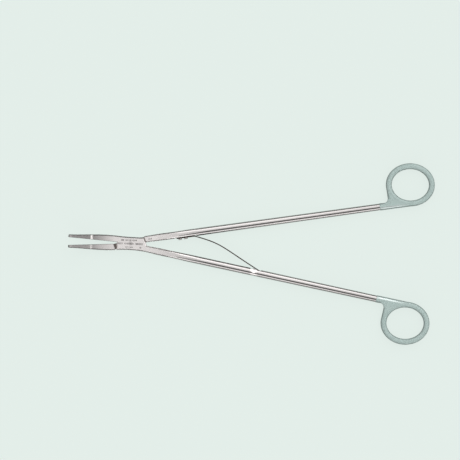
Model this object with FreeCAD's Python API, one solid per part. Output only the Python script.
import FreeCAD, Part
import math
import os

# Ligating clip applier: two crossed steel levers on a box lock, each with an angled,
# grooved jaw in front and a plastic-coated finger ring behind. A leaf spring screwed to
# one lever bears on a small roller in the other and pushes the jaws open.
#
# Frame: the lock pin's axis is Z and the underside of the box lock is Z = 0. The jaws
# point to -X and the rings to +X. The levers are drawn open, as the spring holds them.
# "Box lever" has the jaw on +Y and the ring on -Y; "tongue lever" is the other way round.
# Lever shapes are drawn for the box lever and mirrored in the XZ plane for the other.
# Sizes are millimetres and degrees.

Vector = FreeCAD.Vector
Z_AXIS = Vector(0, 0, 1)

# Box lock
box_thickness = 6.0
box_front = 10.2          # pivot to the front edge of the cheeks
box_rear = 11.8           # pivot to the slanted rear edge of the cheeks, on the centre line
box_rear_slant = 20.7     # rear edge's angle from square
box_waist = 9.6
box_chamfer = 0.35
tongue_thickness = 2.4
tongue_waist = 5.8
tongue_play = 0.05        # each side of the tongue, across its thickness
window_play = 0.15        # round the tongue's outline, over its whole swing
pin_radius = 1.5
pin_play = 0.03
front_gap = 1.2           # cheek edge to the tongue lever's front shoulder, at its outer end
front_shoulder_slant = 21.7
rear_gap = 0.55           # cheek edge to the tongue lever's rear shoulder

# Jaws, measured with the jaws shut and from the pivot forwards
jaw_half_angle = 3.6      # each jaw's swing from shut to open
jaw_gap = 0.1             # between the shut faces
jaw_root_width = 4.65
jaw_shoulder = 18.0       # where the jaw starts to narrow
jaw_shoulder_width = 4.6
jaw_bend = 29.7
jaw_bend_width = 3.65
jaw_bend_height = 3.8
jaw_bend_radius = 5.0
tip_length = 18.0
tip_angle = 20.0
tip_width = 1.95
tip_height = 2.6
jaw_fillet = 0.45
groove_length = 14.0
groove_width = 1.0
groove_depth = 0.4

# Shanks: distances along the shank's centre line, which passes shank_offset from the pivot
shank_angle = 10.04
shank_offset = 1.6
neck_station = 13.0
neck_width = 4.7
neck_height = 5.8
flat_station = 33.0       # end of the flat-sided stretch
flat_width = 5.2
flat_height = 5.0
bar_station = 58.0        # start of the round bar
bar_width = 5.6
bar_height = 4.6
bar_end_width = 4.9
bar_end_height = 4.2
flat_corner = 0.6

# Finger rings, on the middle of the band
ring_reach = 214.2        # along the shank to abreast of the ring's centre
ring_rise = 0.75          # how far the band's middle passes the shank's centre line
ring_long_radius = 16.2
ring_short_radius = 14.0
band_width = 4.4
band_height = 5.2
core_width = 2.8
core_height = 3.4
tang_width = 2.4          # the shank's end inside the coat
tang_height = 3.0
web_height = 3.4
core_web_height = 2.0
coat_start = 189.0
coat_step = 0.3           # the coat's wall where it starts on the shank

# Leaf spring, its screws and its roller
leaf_thickness = 0.8
leaf_width = 4.2
leaf_tip_width = 2.0
leaf_start = 34.6
leaf_base_length = 13.7
leaf_seat = 2.35          # seat's distance from the shank's centre line
leaf_seat_play = 1.5      # seat longer than the leaf at each end
leaf_bend_radius = 5.0
leaf_lift_angle = 13.5    # leaf's slope below the instrument's axis after its bend
leaf_end_angle = 30.8     # and where it meets the roller
leaf_start_pull = 20.0
leaf_end_pull = 31.0
leaf_overrun = 3.4        # past the roller
screw_stations = (37.2, 41.6)
screw_radius = 0.8
screw_length = 3.0        # in the shank
screw_head_radius = 1.3
screw_head_height = 1.0
screw_slot_width = 0.4
screw_slot_depth = 0.4
screw_hole_play = 0.1
roller_station = 94.6
roller_inset = 1.4        # roller's axis inward of the shank's centre line
roller_radius = 1.4
roller_width = 2.4
roller_play = 0.1         # each side, and to the leaf
roller_pin_radius = 0.6
roller_bore_play = 0.03
mortise_rear = 5.6        # from the roller's axis to the slot's rear end
mortise_play = 0.2        # round the roller
relief_depth = 0.6
relief_front = 2.6
relief_rear = 4.4
spot_radius = 1.9
spot_height = 3.5         # between the two spot faces

mid_z = box_thickness / 2
far = 40.0                # reach of cutting tools past whatever they cut
hair = 0.05               # overlap that keeps joined solids in one piece
closing_swing = 2 * jaw_half_angle


def cos(angle):
    return math.cos(math.radians(angle))


def sin(angle):
    return math.sin(math.radians(angle))


def tan(angle):
    return math.tan(math.radians(angle))


def turned(shape, angle, axis=Z_AXIS):
    copy = shape.copy()
    copy.rotate(Vector(0, 0, 0), axis, angle)
    return copy


def mirrored(shape):
    """The same piece for the tongue lever."""
    return shape.mirror(Vector(0, 0, 0), Vector(0, 1, 0))


def open_point(x, y):
    """Where a point of the shut jaw lies when the box lever's jaw is open."""
    c, s = cos(jaw_half_angle), sin(jaw_half_angle)
    return Vector(x * c + y * s, -x * s + y * c, 0)


def shank_at(station, inward=0.0, z=0.0):
    """A point on the box lever's shank: along its centre line, then towards the X axis."""
    along = Vector(cos(shank_angle), -sin(shank_angle), 0)
    across = Vector(sin(shank_angle), cos(shank_angle), 0)
    return Vector(0, -shank_offset, z) + along * station + across * inward


def other_side(point):
    return Vector(point.x, -point.y, point.z)


def prism(points, low, high):
    """A polygon in the XY plane, extruded from z = low to z = high."""
    corners = [Vector(p.x, p.y, low) for p in points]
    face = Part.Face(Part.makePolygon(corners + corners[:1]))
    return face.extrude(Vector(0, 0, high - low))


def line(a, b):
    return Part.LineSegment(a, b).toShape()


def arc(a, middle, b):
    return Part.Arc(a, middle, b).toShape()


def rounded_rectangle(centre, across, up, width, height, corner):
    """A closed wire of four sides and four round corners, in the plane of across and up."""
    right, top = width / 2, height / 2
    diagonal = corner * (1 - math.sqrt(0.5))

    def at(x, y):
        return centre + across * x + up * y

    edges = []
    for sx, sy in ((1, -1), (1, 1), (-1, 1), (-1, -1)):
        side_end = at(sx * right, sy * (top - corner))
        level_end = at(sx * (right - corner), sy * top)
        bend = at(sx * (right - diagonal), sy * (top - diagonal))
        if sx * sy < 0:
            edges.append(arc(level_end, bend, side_end))
            edges.append(line(side_end, at(sx * right, -sy * (top - corner))))
        else:
            edges.append(arc(side_end, bend, level_end))
            edges.append(line(level_end, at(-sx * (right - corner), sy * top)))
    return Part.Wire(edges)


def corner_for(width, height, roundness):
    """A section's corner radius: roundness 1 is a bar as round as its sides allow."""
    largest = 0.47 * min(width, height)
    return flat_corner + (largest - flat_corner) * roundness


def shank_section(station, width, height, roundness):
    across = Vector(sin(shank_angle), cos(shank_angle), 0)
    corner = corner_for(width, height, roundness)
    return rounded_rectangle(shank_at(station, 0, mid_z), across, Z_AXIS, width, height, corner)


def shank():
    """The bar from inside the box lock to abreast of the ring's centre."""
    sections = [
        shank_section(neck_station / 2, neck_width, neck_height, 0),
        shank_section(neck_station, neck_width, neck_height, 0),
        shank_section((neck_station + flat_station) / 2, flat_width, flat_height, 0.1),
        shank_section(flat_station, flat_width, flat_height, 0.25),
        shank_section((flat_station + bar_station) / 2, bar_width, bar_height, 0.7),
        shank_section(bar_station, bar_width, bar_height, 1),
    ]
    front = Part.makeLoft(sections, True, True)
    bar_end = shank_section(coat_start, bar_end_width, bar_end_height, 1)
    rear = Part.makeLoft([shank_section(bar_station, bar_width, bar_height, 1), bar_end], True, True)
    across = Vector(sin(shank_angle), cos(shank_angle), 0)
    tang_end = rounded_rectangle(shank_at(ring_reach, ring_rise, mid_z), across, Z_AXIS,
                                 tang_width, tang_height, corner_for(tang_width, tang_height, 1))
    tang = Part.makeLoft([shank_section(coat_start, bar_end_width, bar_end_height, 1), tang_end],
                         True, True)
    return front.fuse([rear, tang])


def jaw_outline():
    """The shut jaw seen from above: a flat inner face and a curved back."""
    reach = jaw_bend + tip_length * cos(tip_angle)
    face = jaw_gap / 2
    root = box_front * 0.6
    back = [
        Vector(-root, face + jaw_root_width - box_chamfer, 0),
        Vector(-box_front, face + jaw_root_width, 0),
        Vector(-jaw_shoulder, face + jaw_shoulder_width, 0),
        Vector(-jaw_bend, face + jaw_bend_width, 0),
        Vector(-reach - hair, face + tip_width, 0),
    ]
    spline = Part.BSplineCurve()
    spline.interpolate(back)
    inner_root = Vector(-root, face, 0)
    inner_tip = Vector(-reach - hair, face, 0)
    wire = Part.Wire([spline.toShape(), line(back[-1], inner_tip), line(inner_tip, inner_root),
                      line(inner_root, back[0])])
    return Part.Face(wire).extrude(Vector(0, 0, far))


def bent_edge(start, corner, end, radius):
    """Line, tangent arc and line through a corner, as edges in the XZ plane."""
    to_start = (start - corner).normalize()
    to_end = (end - corner).normalize()
    half = to_start.getAngle(to_end) / 2
    setback = radius / math.tan(half)
    first, last = corner + to_start * setback, corner + to_end * setback
    centre = corner + (to_start + to_end).normalize() * (radius / math.sin(half))
    middle = centre + (corner - centre).normalize() * radius
    return [line(start, first), arc(first, middle, last), line(last, end)]


def jaw_profile():
    """The jaw seen from the side: level, tapering, then angled up at the tip."""
    root = box_front * 0.6
    level_end = box_front + box_chamfer
    slope = Vector(-cos(tip_angle), 0, sin(tip_angle))
    square = Vector(sin(tip_angle), 0, cos(tip_angle))
    tip = Vector(-jaw_bend, 0, mid_z) + slope * tip_length
    mitre = jaw_bend_height / 2 * tan(tip_angle / 2)
    top_bend = Vector(-jaw_bend + mitre, 0, mid_z + jaw_bend_height / 2)
    low_bend = Vector(-jaw_bend - mitre, 0, mid_z - jaw_bend_height / 2)
    top_root = Vector(-level_end, 0, box_thickness)
    low_root = Vector(-level_end, 0, 0)
    top_tip = tip + square * (tip_height / 2)
    low_tip = tip - square * (tip_height / 2)
    edges = [line(Vector(-root, 0, box_thickness), top_root)]
    edges += bent_edge(top_root, top_bend, top_tip, jaw_bend_radius)
    edges.append(line(top_tip, low_tip))
    edges += bent_edge(low_tip, low_bend, low_root, jaw_bend_radius + jaw_bend_height)
    edges += [line(low_root, Vector(-root, 0, 0)),
              line(Vector(-root, 0, 0), Vector(-root, 0, box_thickness))]
    profile = Part.Face(Part.Wire(edges)).extrude(Vector(0, far, 0))
    profile.translate(Vector(0, -far / 2, 0))
    return profile


def clip_groove():
    """The channel along the tip's inner face that holds one leg of a clip."""
    channel = Part.makeBox(groove_length + far, groove_depth + jaw_gap, groove_width)
    channel.translate(Vector(-far, 0, -groove_width / 2))
    tip = Vector(-jaw_bend, 0, mid_z) + Vector(-cos(tip_angle), 0, sin(tip_angle)) * tip_length
    channel = turned(channel, tip_angle, Vector(0, 1, 0))
    channel.translate(tip + Vector(0, -jaw_gap / 2, 0))
    return channel


def jaw():
    """One jaw of the box lever, open, with its long edges rounded."""
    solid = jaw_outline().common(jaw_profile())
    reach = jaw_bend + tip_length * cos(tip_angle)
    long_edges = [e for e in solid.Edges
                  if e.BoundBox.XLength > 0.2 * e.BoundBox.ZLength
                  and e.BoundBox.XMax < -box_front
                  and e.BoundBox.XMin > -reach - 1
                  and e.BoundBox.XLength > 0.3 * jaw_bend_radius]
    solid = rounded(solid, long_edges, jaw_fillet)
    solid = solid.cut(clip_groove())
    return turned(solid, -jaw_half_angle)


def rounded(solid, edges, radius):
    """The solid with those edges filleted."""
    return solid.makeFillet(radius, edges)


def rear_edge_x(y, gap=0.0):
    """The slanted rear edge of the cheeks, or a line that far behind it."""
    return box_rear + gap / cos(box_rear_slant) - y * tan(box_rear_slant)


def box_block():
    """The two cheeks and what joins them, as one block before the window is cut."""
    front = open_point(-box_front, jaw_gap / 2 + jaw_root_width)
    top_front = Vector(-box_front, front.y, 0)
    low_front = Vector(-box_front, -front.y, 0)
    top_waist = Vector(0, box_waist / 2, 0)
    low_waist = Vector(0, -box_waist / 2 - 0.2, 0)
    top_rear = Vector(rear_edge_x(box_waist / 2), box_waist / 2, 0)
    middle = shank_at(neck_station)
    rear_corner = Vector(rear_edge_x(middle.y), middle.y, 0)
    low_rear = shank_at(neck_station, -neck_width / 2)
    wire = Part.Wire([arc(top_front, top_waist, top_rear), line(top_rear, rear_corner),
                      line(rear_corner, low_rear), arc(low_rear, low_waist, low_front),
                      line(low_front, top_front)])
    block = Part.Face(wire).extrude(Vector(0, 0, box_thickness))
    flat_edges = [e for e in block.Edges if e.BoundBox.ZLength < hair]
    return block.makeChamfer(box_chamfer, flat_edges)


def tongue_outline(margin, overlap):
    """The tongue seen from above on the open tongue lever, as a list of corners."""
    front = -box_front - front_gap - overlap
    jaw_face = -open_point(front, jaw_gap / 2).y
    jaw_back = -open_point(front, jaw_gap / 2 + jaw_root_width).y
    rear = neck_station + overlap
    shank_inner = other_side(shank_at(rear, neck_width / 2)).y
    shank_outer = other_side(shank_at(rear, -neck_width / 2)).y
    inset = window_play + 0.1
    return [
        Vector(front, jaw_face - inset + margin, 0),
        Vector(0, tongue_waist / 2 + margin, 0),
        Vector(rear, shank_outer - inset + margin, 0),
        Vector(rear, shank_inner + inset - margin, 0),
        Vector(0, -tongue_waist / 2 - margin, 0),
        Vector(front, jaw_back + inset - margin, 0),
    ]


def window():
    """What the tongue sweeps through the box, with room round it."""
    depth = tongue_thickness / 2 + tongue_play
    swept = prism(tongue_outline(window_play, 3.0), mid_z - depth, mid_z + depth)
    steps = [turned(swept, -closing_swing * share) for share in (0.25, 0.5, 0.75, 1.0)]
    return swept.fuse(steps).removeSplitter()


def lock_pin_hole(radius):
    return Part.makeCylinder(radius, box_thickness + 2, Vector(0, 0, -1))


def box_lever_steel():
    """Jaw, box and shank of the lever that carries the box."""
    solid = box_block().fuse([jaw(), shank()])
    solid = solid.cut(window()).cut(lock_pin_hole(pin_radius))
    return solid


def tongue_lever_steel():
    """Jaw, tongue and shank of the lever that passes through the box."""
    front = -box_front - front_gap
    outer = open_point(-box_front, jaw_gap / 2 + jaw_root_width).y
    lean = tan(front_shoulder_slant)
    behind_front = prism([Vector(front, -outer, 0), Vector(front - 2 * outer * lean, outer, 0),
                          Vector(far, outer, 0), Vector(far, -outer, 0),
                          Vector(front + outer * lean, -2 * outer, 0)], -1, box_thickness + 1)
    jaw_part = mirrored(jaw()).cut(behind_front)
    before_rear = prism([Vector(rear_edge_x(-far, rear_gap), -far, 0),
                         Vector(rear_edge_x(far, rear_gap), far, 0),
                         Vector(-far, far, 0), Vector(-far, -far, 0)], -1, box_thickness + 1)
    shank_part = mirrored(shank()).cut(before_rear)
    half = tongue_thickness / 2
    tongue = prism(tongue_outline(0, 2.0), mid_z - half, mid_z + half)
    solid = tongue.fuse([jaw_part, shank_part])
    return solid.cut(lock_pin_hole(pin_radius + pin_play))


def ring_centre():
    """Abreast of the shank's end, so that the band runs into the shank."""
    tangent = math.hypot(ring_long_radius * sin(shank_angle), ring_short_radius * cos(shank_angle))
    return shank_at(ring_reach, ring_rise - tangent, mid_z)


def ring_band(width, height):
    """A closed band of rounded section round the finger hole."""
    centre = ring_centre()
    path = Part.Wire(Part.Ellipse(centre, ring_long_radius, ring_short_radius).toShape())
    start = centre + Vector(ring_long_radius, 0, 0)
    section = rounded_rectangle(start, Vector(1, 0, 0), Z_AXIS, width, height, 0.47 * width)
    return path.makePipeShell([section], True, False)


def ring_side():
    """The band's point nearest the jaws, and the shank station abreast of it."""
    along = Vector(cos(shank_angle), -sin(shank_angle), 0)
    long_part = ring_long_radius ** 2 * along.x
    short_part = ring_short_radius ** 2 * along.y
    size = math.hypot(ring_long_radius * along.x, ring_short_radius * along.y)
    point = ring_centre() - Vector(long_part, short_part, 0) / size
    return point, (point - shank_at(0, 0, mid_z)).dot(along)


def web(height):
    """The flat plate between the shank, the ring and the ring's straight side."""
    side, station = ring_side()
    corners = [side, shank_at(station), shank_at(ring_reach), ring_centre()]
    plate = prism(corners, mid_z - height / 2, mid_z + height / 2)
    hole = Part.Face(Part.Wire(Part.Ellipse(ring_centre(), ring_long_radius,
                                            ring_short_radius).toShape()))
    hole = hole.extrude(Vector(0, 0, far))
    hole.translate(Vector(0, 0, -far / 2))
    return plate.cut(hole)


def ring_core():
    """The steel inside the coat: the band and its web."""
    return ring_band(core_width, core_height).fuse(web(core_web_height))


def ring_coat(steel):
    """The plastic on the ring, its web and the end of the shank, hollow where the steel is."""
    side, station = ring_side()
    down = Vector(sin(shank_angle), cos(shank_angle), 0)
    along = Vector(cos(shank_angle), -sin(shank_angle), 0)
    side_width, side_height = band_width - coat_step, band_height - coat_step
    side_corner = 0.47 * side_width
    bar_ends = [rounded_rectangle(point, along, Z_AXIS, side_width, side_height, side_corner)
                for point in (side, shank_at(station, 0, mid_z))]
    side_bar = Part.makeLoft(bar_ends, True, True)
    start = rounded_rectangle(shank_at(coat_start, 0, mid_z), down, Z_AXIS,
                              bar_end_width + 2 * coat_step, bar_end_height + 2 * coat_step,
                              0.47 * (bar_end_height + 2 * coat_step))
    end = rounded_rectangle(shank_at(ring_reach, ring_rise, mid_z), down, Z_AXIS,
                            side_width, side_height, side_corner)
    tail = Part.makeLoft([start, end], True, True)
    outside = ring_band(band_width, band_height).fuse([side_bar, tail, web(web_height)])
    return outside.cut(steel)


def roller_centre(z=0.0):
    return shank_at(roller_station, roller_inset, z)


def local_prism(stations_and_levels, low, high):
    """A prism whose corners are given along and across the box lever's shank."""
    return prism([shank_at(s, level) for s, level in stations_and_levels], low, high)


def roller_seat():
    """The slot, relief and spot faces cut in the box lever's shank for the roller."""
    half = roller_width / 2 + roller_play
    front = roller_station - roller_radius - mortise_play
    floor = roller_inset - roller_radius - mortise_play
    top = bar_width
    slot = local_prism([(front, floor), (roller_station + mortise_rear, floor),
                        (roller_station + mortise_rear, top), (front, top)],
                       mid_z - half, mid_z + half)
    share = (roller_station - bar_station) / (coat_start - bar_station)
    edge = (bar_width + (bar_end_width - bar_width) * share) / 2
    relief_floor = edge - relief_depth
    relief = local_prism([(roller_station - relief_front, relief_floor),
                          (roller_station + relief_rear - relief_depth, relief_floor),
                          (roller_station + relief_rear + relief_depth, edge + relief_depth),
                          (roller_station - relief_front - relief_depth, edge + relief_depth)],
                         -1, box_thickness + 1)
    centre = roller_centre()
    upper = Part.makeCylinder(spot_radius, far, centre + Vector(0, 0, mid_z + spot_height / 2))
    lower = Part.makeCylinder(spot_radius, far,
                              centre + Vector(0, 0, mid_z - spot_height / 2 - far))
    pin_hole = Part.makeCylinder(roller_pin_radius, box_thickness, centre)
    return slot.fuse([relief, upper, lower, pin_hole])


def spring_roller():
    low = mid_z - roller_width / 2
    drum = Part.makeCylinder(roller_radius, roller_width, roller_centre(low))
    bore = Part.makeCylinder(roller_pin_radius + roller_bore_play, roller_width,
                             roller_centre(low))
    return drum.cut(bore)


def roller_pin():
    return Part.makeCylinder(roller_pin_radius, spot_height, roller_centre(mid_z - spot_height / 2))


def leaf_path():
    """The middle line of the leaf: base on the tongue lever, bend, blade and tip."""
    level = leaf_seat + leaf_thickness / 2
    start = other_side(shank_at(leaf_start, level))
    corner = other_side(shank_at(leaf_start + leaf_base_length, level))
    away = Vector(cos(leaf_lift_angle), -sin(leaf_lift_angle), 0)
    landing = Vector(cos(leaf_end_angle), -sin(leaf_end_angle), 0)
    clear = Vector(sin(leaf_end_angle), cos(leaf_end_angle), 0)
    contact = roller_centre() + clear * (roller_radius + roller_play + leaf_thickness / 2)
    back = (start - corner).normalize()
    turn = shank_angle + leaf_lift_angle
    setback = leaf_bend_radius * tan(turn / 2)
    bend_start, bend_end = corner + back * setback, corner + away * setback
    inside = (back + away).normalize()
    centre = corner + inside * (leaf_bend_radius / cos(turn / 2))
    bend_middle = centre - inside * leaf_bend_radius
    blade = Part.BezierCurve()
    blade.setPoles([bend_end, bend_end + away * leaf_start_pull,
                    contact - landing * leaf_end_pull, contact])
    tip = contact + landing * leaf_overrun
    return [line(start, bend_start), arc(bend_start, bend_middle, bend_end),
            blade.toShape(), line(contact, tip)]


def leaf_spring():
    """A strip along the leaf's path, as wide as its base and then narrowed to its tip."""
    path = leaf_path()
    start = path[0].Vertexes[0].Point
    base_end = path[1].Vertexes[0].Point.x
    tip = path[-1].Vertexes[-1].Point.x + leaf_thickness
    across = Vector(-sin(shank_angle), cos(shank_angle), 0)
    section = Part.makePolygon([start + across * (a * leaf_thickness / 2)
                                + Z_AXIS * (mid_z + b * leaf_width / 2)
                                for a, b in ((1, 1), (1, -1), (-1, -1), (-1, 1), (1, 1))])
    path_wire = Part.Wire(path)
    path_wire.translate(Vector(0, 0, mid_z))
    strip = path_wire.makePipeShell([section], True, False)
    wide, narrow = leaf_width / 2, leaf_tip_width / 2
    outline = [(start.x - 2, wide), (base_end, wide), (tip, narrow),
               (tip, -narrow), (base_end, -wide), (start.x - 2, -wide)]
    corners = [Vector(x, -far, mid_z + z) for x, z in outline]
    mask = Part.Face(Part.makePolygon(corners + corners[:1])).extrude(Vector(0, 2 * far, 0))
    strip = strip.common(mask)
    for station in screw_stations:
        strip = strip.cut(screw_cylinder(station, screw_radius + screw_hole_play, -1, far))
    return strip


def screw_cylinder(station, radius, low, high):
    """A cylinder square to the tongue lever's shank, between two distances from the seat."""
    foot = other_side(shank_at(station, leaf_seat + low, mid_z))
    inward = Vector(sin(shank_angle), -cos(shank_angle), 0)
    return Part.makeCylinder(radius, high - low, foot, inward)


def spring_screw(station):
    """A slotted cheese-head screw through the leaf's base into the shank."""
    thread = screw_cylinder(station, screw_radius, -screw_length, leaf_thickness)
    head = screw_cylinder(station, screw_head_radius, leaf_thickness,
                          leaf_thickness + screw_head_height)
    level = leaf_seat + leaf_thickness + screw_head_height
    half = screw_slot_width / 2
    slot = prism([other_side(shank_at(station + a * half, level + b * screw_slot_depth))
                  for a, b in ((-1, -1), (1, -1), (1, 1), (-1, 1))],
                 mid_z - screw_head_radius - 1, mid_z + screw_head_radius + 1)
    return thread.fuse(head).cut(slot)


def spring_seat():
    """The flat and the screw holes that the tongue lever's shank has for the leaf's base."""
    first = leaf_start - leaf_seat_play
    last = leaf_start + leaf_base_length + leaf_seat_play
    corners = [other_side(shank_at(s, level)) for s, level in
               ((first, leaf_seat), (last, leaf_seat), (last, far / 4), (first, far / 4))]
    flat = prism(corners, -1, box_thickness + 1)
    holes = [screw_cylinder(s, screw_radius, -screw_length, 1) for s in screw_stations]
    return flat.fuse(holes)


def save(name, shape):
    """Writes one node, made of clean closed solids."""
    solids = shape.Solids
    good = shape.isValid() and all(s.isClosed() for s in solids)
    print(f"{name}: {len(solids)} solid(s), {shape.Volume:.1f} mm3, valid {good}")
    shape.exportStep(f"parts/{name}.step")
    return shape


def main():
    os.makedirs("parts", exist_ok=True)
    core = ring_core()
    box_lever = box_lever_steel().fuse(core).cut(roller_seat())
    tongue_lever = tongue_lever_steel().fuse(mirrored(core)).cut(spring_seat())
    coat = ring_coat(core.fuse(shank()))
    pieces = {
        "box_lever": box_lever,
        "tongue_lever": tongue_lever,
        "lock_pin": Part.makeCylinder(pin_radius, box_thickness),
        "box_lever_ring_coat": coat,
        "tongue_lever_ring_coat": mirrored(coat),
        "leaf_spring": leaf_spring(),
        "spring_screw_front": spring_screw(screw_stations[0]),
        "spring_screw_rear": spring_screw(screw_stations[1]),
        "spring_roller": spring_roller(),
        "roller_pin": roller_pin(),
    }
    for name, shape in pieces.items():
        save(name, shape)


if __name__ == "__main__":
    main()
